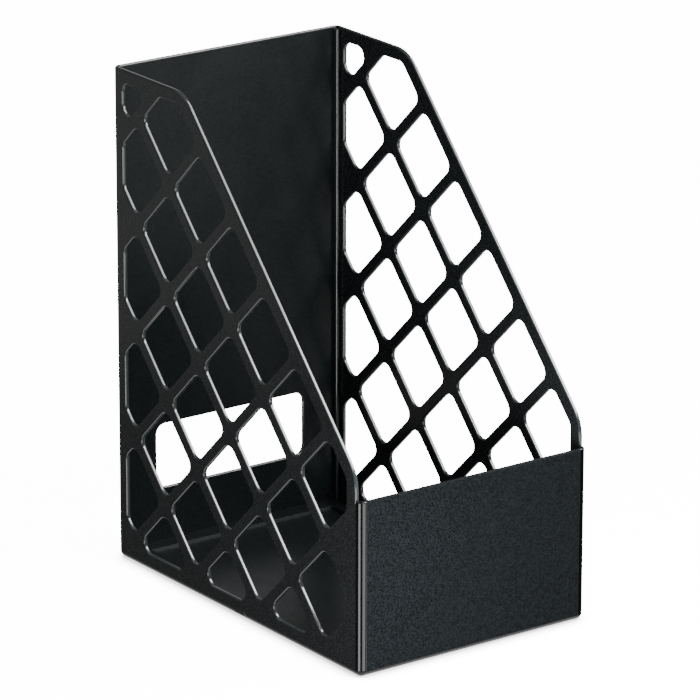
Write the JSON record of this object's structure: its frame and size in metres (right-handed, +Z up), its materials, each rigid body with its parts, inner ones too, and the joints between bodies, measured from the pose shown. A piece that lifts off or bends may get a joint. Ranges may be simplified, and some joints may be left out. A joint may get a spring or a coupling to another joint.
{
  "type": "magazine file holder",
  "caption": "Upright magazine file with lattice sides cut away along a slope, a low solid front and a finger slot near the foot of its tall back.",
  "frame": {"origin": "on the ground, under the middle of the box", "axes": "+Z up, +Y towards the tall back, +X to the right of someone who faces the low front"},
  "size_m": [0.1588, 0.2414, 0.2984],
  "materials": {
    "grained_black": "fine moulded grain, low sheen, smooth glossy corners",
    "satin_black": "smooth satin, bright on rounded edges"
  },
  "bodies": {
    "root": {"front_panel": "grained_black", "back_panel": "satin_black", "left_side_panel": "satin_black", "right_side_panel": "satin_black", "base_panel": "satin_black"}
  },
  "joints": []
}
